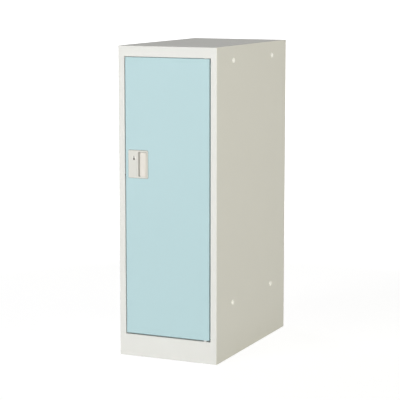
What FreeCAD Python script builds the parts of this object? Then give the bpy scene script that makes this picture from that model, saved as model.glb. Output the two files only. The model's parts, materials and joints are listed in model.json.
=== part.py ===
import FreeCAD, Part
import math
import os

V = FreeCAD.Vector

# Cabinet, in millimetres. X runs to the right, Y to the back, Z up, and the base is at Z = 0.
width = 300.0
depth = 515.0
height = 880.0
sheet = 1.0                  # steel sheet of every folded panel
bend = 1.0                   # inside radius of a fold
stile_width = 19.0           # front face of each side panel
header_height = 30.1         # front face of the roof panel
kick_height = 62.7           # front face of the floor panel
rear_flange = 15.0           # side panels behind, where the back panel lies on them
edge_flange = 15.0           # roof and floor edges folded down along the side panels
kick_return = 15.0           # kick board folded back at the ground
stop_flange = 14.0           # strip behind the door that it closes against
stop_gap = 2.0               # between the closed door and that strip
joint_gap = 0.5              # between two strips that meet at a corner
hinge_return = 40.0          # right stile folded back beside the hinges
hinge_hem = 8.0              # its stiffening edge

# Door
door_thick = 20.0
door_lip = 12.0              # strip folded in round the back of the door
latch_gap = 2.4              # between door and left stile
pivot_gap = 3.3              # between door and right stile
top_gap = 1.0
bottom_gap = 3.3
stiffener_offset = 15.0      # middle of the stiffener, right of the middle of the cabinet
stiffener_crown = 30.0
stiffener_flange = 12.0
stiffener_depth = 16.0
stiffener_end_gap = 40.0     # from the ends of the door

# Pivot hinges
pivot_inset = 14.0           # axis from the hinged edge of the door
pivot_setback = 8.0          # axis behind the front of the door
swing_gap = 1.0              # round the swept corner of the door
hinge_pin_radius = 3.0
hinge_pin_head_radius = 5.0
hinge_pin_head = 2.5
hinge_pin_reach = 16.0       # pin inside the door
hinge_collar_radius = 5.5
hinge_collar = 1.4           # collar under the door that carries its weight
hinge_plate = 2.0            # bracket plates on the cabinet
hinge_plate_half = 15.0
hinge_plate_reach = 21.0
door_plate = 2.5             # pivot plates in the door
door_plate_half = 18.0
bush_radius = 4.5
bush_flange_radius = 6.0
bush_flange = 0.6
bush_length = 8.0

# Running and sliding clearances
fit_gap = 0.05               # pins and shafts in their bores
slide_gap = 0.3              # sliding pieces in their guides
overcut = 1.0                # how far a cutting tool passes a face

# Handle moulding, measured from the latch edge of the door and from the ground
handle_inset = 9.0
handle_width = 61.0
handle_height = 79.0
handle_mid = 550.8
bezel_proud = 2.6
bezel_corner = 4.0
bezel_edge = 2.4
body_inset = 2.0             # bezel overlap round the body in the door
body_depth = 15.0
body_wall = 1.8
body_corner = 2.0
cutout_gap = 0.3
barb_reach = 1.2             # snap barbs behind the door skin
barb_length = 12.0
barb_spread = 40.0
barb_depth = 4.0
finger_slot_inset = 31.0     # left side of the finger slot, from the left of the bezel
finger_slot_width = 6.6
cup_width = 21.0
cup_depth = 13.0
cup_scoop = 9.0              # how far its left wall slopes in under the flap
cup_sill = 20.5              # bottom of the finger cup above the bottom of the bezel
cup_head = 8.5               # top of the finger cup below the top of the bezel

# Pull lever
lever_swing = 20.0           # degrees
flap_width = 19.6
flap_margin = 5.6            # bezel above and below the flap
flap_thick = 3.0
flap_gap = 0.4
flap_head_gap = 1.4          # above the flap
flap_edge = 0.9
flap_corner = 3.5            # rounded corners on the side of the finger slot
grip_proud = 1.5
grip_slope = 30.0            # degrees, from the grip down to the knuckle
lip_thick = 3.0
lip_depth = 2.6
knuckle_radius = 3.5
lever_pin_radius = 1.25
pin_skin = 0.5               # moulding left over each end of the lever pin
drive_reach = 13.0           # drive peg left of the lever pin
drive_setback = 8.5          # drive peg behind the lever pin
peg_radius = 1.4
arm_width = 6.0
arm_height = 8.0

# Latch bolt
bolt_thick = 2.6
bolt_front = 1.8             # behind the front of the door
bolt_width = 11.2
bolt_reach = 6.5             # out of the edge of the door
bolt_travel = 5.0
bolt_bevel = 6.0
bolt_tail = 2.5
strike_gap = 1.0
spring_strip = 0.35
spring_height = 2.2
spring_bend = 1.2
spring_splay = 1.4
spring_depth = 5.4

# Lock
lock_inset = 18.2            # axis from the left of the bezel
lock_drop = 21.8             # axis below the top of the bezel
lock_radius = 8.0
lock_boss = 1.8
lock_tail = 2.6              # lock body behind the door
plug_radius = 6.6
plug_recess = 0.2
spigot_radius = 3.5
keyway_height = 11.2
keyway_head_width = 1.2
keyway_foot_width = 5.0
keyway_round = 0.6
keyway_depth = 8.0
lock_nut_flats = 20.0
lock_nut_height = 3.4
cam_thick = 2.0
cam_width = 10.0
cam_reach = 22.0
cam_gap = 0.4                # between tongue and stop strip
cam_screw_radius = 1.5
cam_screw_head_radius = 4.5
cam_screw_head = 2.0
cam_screw_round = 1.0
cam_screw_reach = 6.0

# Joining holes in the sides, with their plugs
hole_spread = 287.0          # front to back
hole_lift = 156.0            # lower pair above the ground
hole_drop = 40.0             # upper pair below the roof
hole_radius = 6.0
plug_head_radius = 7.2
plug_head = 3.0
plug_round = 2.8
plug_neck_gap = 0.1
plug_barb = 0.4
plug_length = 6.0

# Shelf and coat rail
shelf_height = 650.0
shelf_flange = 14.0
shelf_setback = 46.0         # front edge behind the front of the cabinet
shelf_rear_gap = 4.0
shelf_gap = 0.4
bracket_sheet = 1.2
bracket_leg = 14.0
bracket_ledge = 14.0
bracket_length = 26.0
bracket_inset = 40.0         # from the ends of the shelf
rail_height = 600.0
rail_setback = 10.0          # behind the middle of the cabinet
rail_radius = 8.0
rail_wall = 1.2
socket_base = 2.0
socket_base_radius = 14.0
socket_wall = 2.0
socket_cup = 9.0
socket_gap = 0.1

# Back panel beads
bead_spread = 140.0
bead_width = 22.0
bead_length = 700.0
bead_depth = 3.0
bead_slope = 4.0
bead_corner = 8.0

# Door buffers
buffer_width = 10.0
buffer_height = 14.0
buffer_corner = 2.5
buffer_gap = 0.3
buffer_end_gap = 60.0        # from the ends of the door

# Base and adjuster feet
base_plate = 2.0
base_plate_size = 48.0
base_leg = 22.0
base_plate_height = 22.0
foot_inset = 26.0            # foot axis from the side sheet
foot_setback = 36.0          # foot axis from the front and the back
foot_pad_radius = 16.0
foot_pad = 6.5
foot_lift = 0.5              # pad above the ground while the sheets carry the cabinet
foot_hex_flats = 17.0        # spanner collar on the pad
foot_hex = 5.0
foot_stud_radius = 4.9
foot_stud_top = 48.0
foot_round = 1.5
foot_tip_round = 0.8
nut_flats = 16.0
nut_height = 8.0
stud_gap = 0.1
stud_hole_gap = 0.4

# Places that follow from these
front = -depth / 2
back = depth / 2
back_face = back - sheet                      # front of the back panel
side_face = width / 2 - sheet                 # inside of a side panel
stile_edge = width / 2 - stile_width
header_bottom = height - header_height
stop_face = front + door_thick + stop_gap
door_left = -stile_edge + latch_gap
door_right = stile_edge - pivot_gap
door_bottom = kick_height + bottom_gap
door_top = header_bottom - top_gap
door_back = front + door_thick
skin_back = front + sheet
fold_front = skin_back + bend                 # clear of the round inside a fold at the front
fold_back = back_face - sheet - bend          # and at the back
pivot_x = door_right - pivot_inset
pivot_y = front + pivot_setback
lip_half = width / 2 - rear_flange - joint_gap  # rear lips, between the flanges of the side panels
corner_sweep = math.hypot(pivot_inset, door_thick - pivot_setback) + swing_gap
bore_radius = hinge_pin_radius + fit_gap

bezel_left = door_left + handle_inset
bezel_right = bezel_left + handle_width
bezel_bottom = handle_mid - handle_height / 2
bezel_top = handle_mid + handle_height / 2
bezel_face = front - bezel_proud
body_left = bezel_left + body_inset
body_right = bezel_right - body_inset
body_bottom = bezel_bottom + body_inset
body_top = bezel_top - body_inset
body_back = front + body_depth
slot_left = bezel_left + finger_slot_inset
flap_left = slot_left + finger_slot_width
flap_right = flap_left + flap_width
flap_bottom = bezel_bottom + flap_margin
flap_top = bezel_top - flap_margin
flap_back = bezel_face + flap_thick
lever_x = flap_right - knuckle_radius
lever_y = bezel_face + knuckle_radius
pocket_bottom = flap_bottom - flap_gap
pocket_top = flap_top + flap_head_gap
pocket_right = flap_right + flap_gap
pocket_back = lever_y + knuckle_radius + flap_gap
cup_right = slot_left + cup_width
cup_back = front + cup_depth
cup_bottom = bezel_bottom + cup_sill
cup_top = bezel_top - cup_head
bolt_bottom = pocket_bottom + slide_gap
bolt_top = bolt_bottom + bolt_thick
bolt_face = front + bolt_front
bolt_back = bolt_face + bolt_width
bolt_tip = door_left - bolt_reach
channel_top = bolt_top + slide_gap
arm_bottom = channel_top + slide_gap
bolt_shoulder = lever_x - knuckle_radius - bolt_travel - flap_gap
bolt_end = bolt_shoulder + bolt_tail
lock_x = bezel_left + lock_inset
lock_z = bezel_top - lock_drop
lock_back = door_back + lock_tail
cam_face = stop_face + sheet + cam_gap
cam_back = cam_face + cam_thick


def in_plan(u, v):
    return V(u, v, 0)


def in_side(u, v):
    return V(0, u, v)


def in_front(u, v):
    return V(u, 0, v)


depth_axis = {in_plan: V(0, 0, 1), in_side: V(1, 0, 0), in_front: V(0, 1, 0)}


def block(x0, x1, y0, y1, z0, z1):
    return Part.makeBox(x1 - x0, y1 - y0, z1 - z0, V(x0, y0, z0))


def rod_x(y, z, x0, x1, radius):
    return Part.makeCylinder(radius, x1 - x0, V(x0, y, z), V(1, 0, 0))


def rod_y(x, z, y0, y1, radius):
    return Part.makeCylinder(radius, y1 - y0, V(x, y0, z), V(0, 1, 0))


def rod_z(x, y, z0, z1, radius):
    return Part.makeCylinder(radius, z1 - z0, V(x, y, z0))


def outline(points, radii, lift):
    """Closed wire of straight runs, with an arc at each corner that has a radius."""
    corners = [lift(u, v) for u, v in points]
    runs = []
    for i, corner in enumerate(corners):
        to_last = (corners[i - 1] - corner).normalize()
        to_next = (corners[(i + 1) % len(corners)] - corner).normalize()
        radius = radii[i]
        if radius:
            half = to_last.getAngle(to_next) / 2
            middle = (to_last + to_next).normalize()
            reach = radius / math.tan(half)
            crown = corner + middle * (radius / math.sin(half) - radius)
            runs.append((corner + to_last * reach, crown, corner + to_next * reach))
        else:
            runs.append((corner, None, corner))
    edges = []
    for i, (start, crown, end) in enumerate(runs):
        if crown is not None:
            edges.append(Part.Arc(start, crown, end).toShape())
        following = runs[(i + 1) % len(runs)][0]
        if end.distanceToPoint(following) > Part.Precision.confusion():
            edges.append(Part.LineSegment(end, following).toShape())
    return Part.Wire(edges)


def prism(points, radii, lift, start, end):
    """Solid with the given outline, from start to end along the third axis."""
    axis = depth_axis[lift]
    face = Part.Face(outline(points, radii, lift))
    face.translate(axis * start)
    return face.extrude(axis * (end - start))


def plate(u0, u1, v0, v1, corner, lift, start, end):
    """Flat block with four rounded corners."""
    points = [(u0, v0), (u1, v0), (u1, v1), (u0, v1)]
    return prism(points, [corner] * len(points), lift, start, end)


def folded(path, lift, start, end, thickness=sheet, radius=bend):
    """Sheet folded along a path. The sheet lies to the left of the path, and every fold is round."""
    spots = [V(u, v, 0) for u, v in path]
    ways = [(b - a).normalize() for a, b in zip(spots, spots[1:])]
    lefts = [V(-way.y, way.x, 0) for way in ways]
    inner = [spots[0] + lefts[0] * thickness]
    near_radii = [0]
    far_radii = [0]
    for i in range(1, len(ways)):
        before = lefts[i - 1]
        after = lefts[i]
        inner.append(spots[i] + (before + after) * (thickness / (1 + before.dot(after))))
        turns_left = ways[i - 1].cross(ways[i]).z > 0
        near_radii.append(radius + thickness if turns_left else radius)
        far_radii.append(radius if turns_left else radius + thickness)
    inner.append(spots[-1] + lefts[-1] * thickness)
    points = path + [(spot.x, spot.y) for spot in reversed(inner)]
    radii = near_radii + [0, 0] + far_radii[::-1]
    return prism(points, radii, lift, start, end)


def turned(profile, radii, origin, axis):
    """Solid of revolution from (radius, distance along the axis) corners."""
    face = Part.Face(outline(profile, radii, in_front))
    solid = face.revolve(V(0, 0, 0), V(0, 0, 1), 360)
    solid.Placement = FreeCAD.Placement(origin, FreeCAD.Rotation(V(0, 0, 1), axis))
    return solid


def hexagon(flats, length, origin, axis):
    reach = flats / math.sqrt(3)
    corners = [(reach * math.cos(k * math.pi / 3), reach * math.sin(k * math.pi / 3)) for k in range(6)]
    solid = prism(corners, [0] * len(corners), in_plan, 0, length)
    solid.Placement = FreeCAD.Placement(origin, FreeCAD.Rotation(V(0, 0, 1), axis))
    return solid


def mirrored(shape):
    return shape.mirror(V(0, 0, 0), V(1, 0, 0))


def joined(first, others):
    return first.fuse(others).removeSplitter()


def edges_on(shape, lift, level):
    """Edges that lie flat at one level of the third axis."""
    axis = depth_axis[lift]
    near = Part.Precision.confusion()
    return [e for e in shape.Edges if all(abs(v.Point.dot(axis) - level) < near for v in e.Vertexes)]


# Cabinet panels

def pin_hole(z0, z1):
    """Waste of a hinge pin's hole through a sheet."""
    return rod_z(pivot_x, pivot_y, z0 - overcut, z1 + overcut, bore_radius)


def front_round():
    """Waste outside the rounded front edge of the roof."""
    radius = bend + sheet
    waste = block(-width / 2, width / 2, front, front + radius, height - radius, height)
    return waste.cut(rod_x(front + radius, height - radius, -width / 2, width / 2, radius))


def side_panel(jamb):
    """Left-hand panel. The stile is folded back as a jamb only along the door opening."""
    shell = [
        (-width / 2 + rear_flange, back_face),
        (-width / 2, back_face),
        (-width / 2, front),
        (-stile_edge, front),
    ]
    lower = folded(shell, in_plan, 0, kick_height)
    middle = folded(shell + jamb, in_plan, kick_height, header_bottom)
    upper = folded(shell, in_plan, header_bottom, height)
    panel = joined(lower, [middle, upper])
    for y, z in joining_holes():
        panel = panel.cut(rod_x(y, z, -width / 2 - overcut, -side_face + overcut, hole_radius))
    return panel.cut(front_round())


def joining_holes():
    return [(y, z) for y in (-hole_spread / 2, hole_spread / 2) for z in (hole_lift, height - hole_drop)]


def left_side_panel():
    jamb = [(-stile_edge, stop_face), (-stile_edge + stop_flange, stop_face)]
    strike = block(
        -stile_edge - sheet - overcut, -stile_edge + overcut,
        bolt_face - strike_gap, bolt_back + strike_gap,
        bolt_bottom - strike_gap, bolt_top + strike_gap,
    )
    return side_panel(jamb).cut(strike)


def right_side_panel():
    jamb = [(-stile_edge, front + hinge_return), (-stile_edge - hinge_hem, front + hinge_return)]
    return mirrored(side_panel(jamb))


def deck(level):
    """Flat sheet with its side and rear edges folded down, reaching into the four corners of the cabinet."""
    bottom = level - edge_flange
    rear_lip = [(back_face, bottom), (back_face, level), (fold_front, level)]
    parts = [block(-side_face, side_face, fold_front, fold_back, level - sheet, level)]
    for x in (-side_face, side_face - sheet):
        parts.append(block(x, x + sheet, fold_front, fold_back, bottom, level))
    for x, y0, y1 in ((stile_edge, skin_back, fold_front), (lip_half, fold_back, back_face - sheet)):
        corner = block(x, side_face - bend, y0, y1, level - sheet, level)
        parts += [corner, mirrored(corner)]
    return joined(folded(rear_lip, in_side, -lip_half, lip_half), parts)


def top_panel():
    header = [(fold_back, height), (front, height), (front, header_bottom)]
    plain = header + [(stop_face + sheet, header_bottom)]
    stopped = header + [(stop_face, header_bottom), (stop_face, header_bottom - stop_flange)]
    stop_start = -stile_edge + stop_flange + joint_gap
    stop_end = pivot_x - corner_sweep
    parts = [
        folded(plain, in_side, -stile_edge, stop_start),
        folded(stopped, in_side, stop_start, stop_end),
        folded(plain, in_side, stop_end, stile_edge),
        block(-side_face, side_face, fold_front, stop_face + sheet, header_bottom, header_bottom + sheet),
    ]
    panel = joined(deck(height).cut(front_round()), parts)
    return panel.cut(pin_hole(header_bottom, header_bottom + sheet))


def floor_panel():
    kick_board = [(fold_back, kick_height), (front, kick_height), (front, 0), (front + kick_return, 0)]
    panel = joined(deck(kick_height), [folded(kick_board, in_side, -stile_edge, stile_edge)])
    return panel.cut(pin_hole(kick_height - sheet, kick_height))


def bead(x):
    """Pressed stiffening bead, tapering towards the inside."""
    rings = []
    for inset, level in ((0, back_face), (bead_slope, back_face - bead_depth)):
        half_width = bead_width / 2 - inset
        half_length = bead_length / 2 - inset
        corner = bead_corner - inset
        points = [
            (x - half_width, height / 2 - half_length),
            (x + half_width, height / 2 - half_length),
            (x + half_width, height / 2 + half_length),
            (x - half_width, height / 2 + half_length),
        ]
        ring = outline(points, [corner] * len(points), in_front)
        ring.translate(V(0, level, 0))
        rings.append(ring)
    return Part.makeLoft(rings, True, True)


def back_panel():
    panel = block(-width / 2, width / 2, back_face, back, 0, height)
    for x in (-bead_spread / 2, bead_spread / 2):
        raised = bead(x)
        hollow = raised.copy()
        hollow.translate(V(0, sheet, 0))
        panel = panel.fuse(raised).cut(hollow)
    return panel.removeSplitter()


# Shelf and coat rail

def hat_shelf():
    half = side_face - bracket_sheet - bend - shelf_gap
    rear = back_face - sheet - shelf_rear_gap
    bottom = shelf_height - shelf_flange
    pan = block(-half, half, front + shelf_setback, rear, bottom, shelf_height)
    pan = pan.makeFillet(bend + sheet, edges_on(pan, in_plan, shelf_height))
    inside = block(
        -half + sheet, half - sheet, front + shelf_setback + sheet, rear - sheet,
        bottom - overcut, shelf_height - sheet,
    )
    return pan.cut(inside)


def shelf_brackets():
    foot = shelf_height - shelf_flange - bracket_sheet
    path = [(-side_face, foot + bracket_leg), (-side_face, foot), (-side_face + bracket_ledge, foot)]
    rear = back_face - sheet - shelf_rear_gap
    clips = []
    for y in (front + shelf_setback + bracket_inset, rear - bracket_inset - bracket_length):
        clip = folded(path, in_front, y, y + bracket_length, bracket_sheet, bend)
        clips += [clip, mirrored(clip)]
    return Part.makeCompound(clips)


def coat_rail():
    half = side_face - socket_base - socket_gap
    tube = rod_x(rail_setback, rail_height, -half, half, rail_radius)
    return tube.cut(rod_x(rail_setback, rail_height, -half, half, rail_radius - rail_wall))


def rail_sockets():
    inner = rail_radius + socket_gap
    profile = [
        (0, 0),
        (socket_base_radius, 0),
        (socket_base_radius, socket_base),
        (inner + socket_wall, socket_base),
        (inner + socket_wall, socket_base + socket_cup),
        (inner, socket_base + socket_cup),
        (inner, socket_base),
        (0, socket_base),
    ]
    left = turned(profile, [0] * len(profile), V(-side_face, rail_setback, rail_height), V(1, 0, 0))
    return Part.makeCompound([left, mirrored(left)])


# Plugs, buffers and base

def right_hole_plugs():
    neck = hole_radius - plug_neck_gap
    barb = hole_radius + plug_barb
    inner = -sheet - plug_neck_gap
    profile = [
        (0, plug_head),
        (plug_head_radius, plug_head),
        (plug_head_radius, 0),
        (neck, 0),
        (neck, inner),
        (barb, inner),
        (neck - plug_barb, -plug_length),
        (0, -plug_length),
    ]
    radii = [0, plug_round, 0, 0, 0, 0, 0, 0]
    return Part.makeCompound(
        [turned(profile, radii, V(width / 2, y, z), V(1, 0, 0)) for y, z in joining_holes()]
    )


def door_buffers():
    rear = stop_face
    face = door_back + buffer_gap
    middle = door_left + door_lip / 2
    pads = []
    for z in (door_bottom + buffer_end_gap, door_top - buffer_end_gap - buffer_height):
        pads.append(
            plate(middle - buffer_width / 2, middle + buffer_width / 2, z, z + buffer_height,
                  buffer_corner, in_front, face, rear)
        )
    return Part.makeCompound(pads)


def foot_places():
    x = side_face - foot_inset
    y = depth / 2 - foot_setback
    return {
        "front_left": (-x, -y),
        "front_right": (x, -y),
        "rear_left": (-x, y),
        "rear_right": (x, y),
    }


def base_brackets():
    path = [
        (-side_face, base_plate_height + base_leg),
        (-side_face, base_plate_height),
        (-side_face + base_plate_size, base_plate_height),
    ]
    parts = []
    for x, y in foot_places().values():
        corner = folded(path, in_front, y - base_plate_size / 2, y + base_plate_size / 2, base_plate, bend)
        if x > 0:
            corner = mirrored(corner)
        hole = rod_z(
            x, y, base_plate_height - overcut, base_plate_height + base_plate + overcut,
            foot_stud_radius + stud_hole_gap,
        )
        parts.append(corner.cut(hole))
    return Part.makeCompound(parts)


def adjuster_nuts():
    floor = base_plate_height + base_plate
    nuts = []
    for x, y in foot_places().values():
        nut = hexagon(nut_flats, nut_height, V(x, y, floor), V(0, 0, 1))
        nuts.append(nut.cut(rod_z(x, y, floor, floor + nut_height, foot_stud_radius + stud_gap)))
    return Part.makeCompound(nuts)


def adjuster_foot(x, y):
    profile = [
        (0, foot_lift),
        (foot_pad_radius, foot_lift),
        (foot_pad_radius, foot_lift + foot_pad),
        (foot_stud_radius, foot_lift + foot_pad),
        (foot_stud_radius, foot_stud_top),
        (0, foot_stud_top),
    ]
    radii = [0, 0, foot_round, 0, foot_tip_round, 0]
    foot = turned(profile, radii, V(x, y, 0), V(0, 0, 1))
    collar = hexagon(foot_hex_flats, foot_hex, V(x, y, foot_lift + foot_pad), V(0, 0, 1))
    return joined(foot, [collar])


# Hinges

def hinge_bracket(z0):
    strip = block(
        pivot_x - hinge_plate_half, pivot_x + hinge_plate_half,
        fold_front, front + hinge_plate_reach, z0, z0 + hinge_plate,
    )
    return strip.cut(pin_hole(z0, z0 + hinge_plate))


def upper_hinge_bracket():
    return hinge_bracket(header_bottom + sheet)


def lower_hinge_bracket():
    return hinge_bracket(kick_height - sheet - hinge_plate)


def upper_hinge_pin():
    seat = header_bottom + sheet + hinge_plate
    profile = [
        (0, seat + hinge_pin_head),
        (hinge_pin_head_radius, seat + hinge_pin_head),
        (hinge_pin_head_radius, seat),
        (hinge_pin_radius, seat),
        (hinge_pin_radius, door_top - hinge_pin_reach),
        (0, door_top - hinge_pin_reach),
    ]
    return turned(profile, [0, bend, 0, 0, bend, 0], V(pivot_x, pivot_y, 0), V(0, 0, 1))


def lower_hinge_pin():
    seat = kick_height - sheet - hinge_plate
    profile = [
        (0, seat - hinge_pin_head),
        (hinge_pin_head_radius, seat - hinge_pin_head),
        (hinge_pin_head_radius, seat),
        (hinge_pin_radius, seat),
        (hinge_pin_radius, kick_height),
        (hinge_collar_radius, kick_height),
        (hinge_collar_radius, kick_height + hinge_collar),
        (hinge_pin_radius, kick_height + hinge_collar),
        (hinge_pin_radius, door_bottom + hinge_pin_reach),
        (0, door_bottom + hinge_pin_reach),
    ]
    radii = [0, bend, 0, 0, 0, 0, 0, 0, bend, 0]
    return turned(profile, radii, V(pivot_x, pivot_y, 0), V(0, 0, 1))


def hinge_bush(edge, inward, flange):
    """Flanged bush seated on the edge of the door. Inward is +1 upwards into the door, -1 downwards."""
    profile = [
        (bore_radius, -flange),
        (bush_flange_radius, -flange),
        (bush_flange_radius, 0),
        (bush_radius, 0),
        (bush_radius, bush_length),
        (bore_radius, bush_length),
    ]
    return turned(profile, [0] * len(profile), V(pivot_x, pivot_y, edge), V(0, 0, inward))


def upper_hinge_bush():
    return hinge_bush(door_top, -1, bush_flange)


def lower_hinge_bush():
    return hinge_bush(door_bottom, 1, bottom_gap - hinge_collar - fit_gap)


def pivot_plate(z0):
    strip = block(
        pivot_x - door_plate_half, door_right - sheet - bend,
        fold_front, door_back - sheet - bend, z0, z0 + door_plate,
    )
    return strip.cut(rod_z(pivot_x, pivot_y, z0 - overcut, z0 + door_plate + overcut, bush_radius + fit_gap))


def upper_pivot_plate():
    return pivot_plate(door_top - sheet - door_plate)


def lower_pivot_plate():
    return pivot_plate(door_bottom + sheet)


# Door

def door_skin():
    pan = block(door_left, door_right, front, door_back, door_bottom, door_top)
    pan = pan.makeFillet(bend + sheet, pan.Edges)
    hollow = block(
        door_left + sheet, door_right - sheet, skin_back, door_back - sheet,
        door_bottom + sheet, door_top - sheet,
    )
    hollow = hollow.makeFillet(bend, hollow.Edges)
    window = plate(
        door_left + door_lip, door_right - door_lip, door_bottom + door_lip, door_top - door_lip,
        bend + sheet, in_front, door_back - sheet - overcut, door_back + overcut,
    )
    cutout = plate(
        body_left - cutout_gap, body_right + cutout_gap, body_bottom - cutout_gap, body_top + cutout_gap,
        body_corner + cutout_gap, in_front, front - overcut, skin_back + overcut,
    )
    bolt_way = block(
        door_left - overcut, door_left + sheet + overcut, bolt_face - slide_gap, bolt_back + slide_gap,
        bolt_bottom - slide_gap, bolt_top + slide_gap,
    )
    bush_way = rod_z(pivot_x, pivot_y, door_bottom - overcut, door_top + overcut, bush_radius + fit_gap)
    return pan.cut(hollow).cut(window).cut(cutout).cut(bolt_way).cut(bush_way)


def door_stiffener():
    middle = stiffener_offset
    half = stiffener_crown / 2
    crown = skin_back + stiffener_depth
    path = [
        (middle - half - stiffener_flange, skin_back),
        (middle - half, skin_back),
        (middle - half, crown),
        (middle + half, crown),
        (middle + half, skin_back),
        (middle + half + stiffener_flange, skin_back),
    ]
    return folded(path, in_plan, door_bottom + stiffener_end_gap, door_top - stiffener_end_gap)


# Handle

def snap_barb(edge, outward, z):
    """Wedge on the side of the body that holds the moulding behind the door skin."""
    reach = cutout_gap + barb_reach
    face = skin_back + fit_gap
    points = [(edge, face), (edge + outward * reach, face), (edge, face + barb_depth)]
    return prism(points, [0] * len(points), in_plan, z - barb_length / 2, z + barb_length / 2)


def finger_plate(x0, x1, z0, z1, corner, y0, y1):
    """Flat block, rounded at the two corners towards the finger slot."""
    points = [(x0, z0), (x1, z0), (x1, z1), (x0, z1)]
    return prism(points, [corner, 0, 0, corner], in_front, y0, y1)


def handle_housing():
    bezel = plate(
        bezel_left, bezel_right, bezel_bottom, bezel_top, bezel_corner, in_front, bezel_face, front,
    )
    bezel = bezel.makeFillet(bezel_edge, edges_on(bezel, in_front, bezel_face))
    body = plate(body_left, body_right, body_bottom, body_top, body_corner, in_front, front, body_back)
    hollow_right = slot_left - body_wall
    hollow = block(
        body_left + body_wall, hollow_right, skin_back, body_back + overcut,
        channel_top + body_wall, body_top - body_wall,
    )
    barbs = []
    for z in (handle_mid - barb_spread / 2, handle_mid + barb_spread / 2):
        barbs += [snap_barb(body_left, -1, z), snap_barb(body_right, 1, z)]
    boss = rod_y(lock_x, lock_z, front, body_back, lock_radius + fit_gap + lock_boss)
    moulding = bezel.fuse(body.cut(hollow).fuse([boss] + barbs))
    mouth = bezel_face - overcut
    scoop_points = [
        (slot_left, mouth),
        (slot_left, bezel_face),
        (slot_left + cup_scoop, cup_back),
        (pocket_right, cup_back),
        (pocket_right, mouth),
    ]
    scoop = prism(scoop_points, [0] * len(scoop_points), in_plan, pocket_bottom, pocket_top)
    pocket = finger_plate(
        slot_left, pocket_right, pocket_bottom, pocket_top, flap_corner + flap_gap, mouth, pocket_back,
    )
    cup = block(slot_left, cup_right, mouth, cup_back, cup_bottom, cup_top)
    channel_front = bolt_face - slide_gap
    channel_back = bolt_back + slide_gap
    channel = block(
        body_left - barb_reach - overcut, pocket_right, channel_front, channel_back,
        pocket_bottom, channel_top,
    )
    drive_way = block(
        slot_left + body_wall, cup_right, flap_back + lip_depth, channel_back,
        pocket_bottom, arm_bottom + arm_height + slide_gap,
    )
    lock_way = rod_y(lock_x, lock_z, front, body_back + overcut, lock_radius + fit_gap)
    key_way = rod_y(lock_x, lock_z, mouth, front + overcut, plug_radius + fit_gap)
    pin_way = rod_z(lever_x, lever_y, body_bottom + pin_skin, body_top - pin_skin, lever_pin_radius)
    for waste in (pocket.common(scoop), cup.common(scoop), channel, drive_way, lock_way, key_way, pin_way):
        moulding = moulding.cut(waste)
    return moulding.removeSplitter()


def lever_pin():
    return rod_z(lever_x, lever_y, body_bottom + pin_skin, body_top - pin_skin, lever_pin_radius)


def pull_lever():
    slope = math.radians(grip_slope)
    grip_face = bezel_face - grip_proud
    brow_x = lever_x + knuckle_radius * math.sin(slope)
    brow_y = lever_y - knuckle_radius * math.cos(slope)
    points = [
        (flap_left, grip_face),
        (brow_x - (brow_y - grip_face) / math.tan(slope), grip_face),
        (brow_x, brow_y),
        (lever_x, lever_y),
        (lever_x, flap_back),
        (flap_left, flap_back),
    ]
    blade = prism(points, [flap_edge, flap_corner, 0, 0, 0, flap_edge], in_plan, flap_bottom, flap_top)
    blade = blade.common(
        finger_plate(
            flap_left, flap_right, flap_bottom, flap_top, flap_corner,
            grip_face - overcut, flap_back + overcut,
        )
    )
    knuckle = rod_z(lever_x, lever_y, flap_bottom, flap_top, knuckle_radius)
    lip = block(
        flap_left, flap_left + lip_thick, flap_back - flap_edge, flap_back + lip_depth,
        cup_bottom + flap_gap, cup_top - flap_gap,
    )
    peg_x = lever_x - drive_reach
    peg_y = lever_y + drive_setback
    arm = block(
        peg_x - arm_width / 2, peg_x + arm_width / 2, flap_back - flap_edge, peg_y + arm_width / 2,
        arm_bottom, arm_bottom + arm_height,
    )
    peg = rod_z(peg_x, peg_y, bolt_bottom, arm_bottom + arm_height, peg_radius)
    bore = rod_z(lever_x, lever_y, flap_bottom - overcut, flap_top + overcut, lever_pin_radius + fit_gap)
    return joined(blade, [knuckle, lip, arm, peg]).cut(bore)


# Latch and lock

def peg_track():
    """Path of the drive peg, seen from the sliding bolt."""
    track = []
    for share in (0, 0.5, 1):
        turn = math.radians(lever_swing) * share
        x = -drive_reach * math.cos(turn) - drive_setback * math.sin(turn)
        y = -drive_reach * math.sin(turn) + drive_setback * math.cos(turn)
        track.append(V(lever_x + x - bolt_travel * share, lever_y + y, bolt_bottom - overcut))
    return Part.Wire([Part.Arc(*track).toShape()])


def latch_bolt():
    points = [
        (bolt_tip, bolt_face),
        (bolt_shoulder, bolt_face),
        (bolt_shoulder, pocket_back),
        (bolt_end, pocket_back),
        (bolt_end, bolt_back),
        (bolt_tip + bolt_bevel, bolt_back),
        (bolt_tip, bolt_back - bolt_bevel),
    ]
    bolt = prism(points, [0] * len(points), in_plan, bolt_bottom, bolt_top)
    slot = peg_track().makeOffset2D(peg_radius + slide_gap)
    return bolt.cut(Part.Face(slot).extrude(V(0, 0, bolt_thick + 2 * overcut)))


def bolt_spring():
    """Hairpin strip between the tail of the bolt and the wall of the moulding."""
    rear = bolt_back - slide_gap
    nose = rear - spring_depth
    left = bolt_end + slide_gap
    right = pocket_right - slide_gap
    path = [(left, rear), (left + spring_splay, nose), (right - spring_splay, nose), (right, rear)]
    z0 = bolt_bottom + (bolt_thick - spring_height) / 2
    return folded(path, in_plan, z0, z0 + spring_height, spring_strip, spring_bend)


def lock_body():
    shell = rod_y(lock_x, lock_z, front, lock_back, lock_radius)
    return shell.cut(rod_y(lock_x, lock_z, front - overcut, lock_back + overcut, plug_radius + fit_gap))


def lock_nut():
    nut = hexagon(lock_nut_flats, lock_nut_height, V(lock_x, body_back, lock_z), V(0, 1, 0))
    nut_back = body_back + lock_nut_height
    way = rod_y(lock_x, lock_z, body_back - overcut, nut_back + overcut, lock_radius + fit_gap)
    return nut.cut(way)


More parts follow.
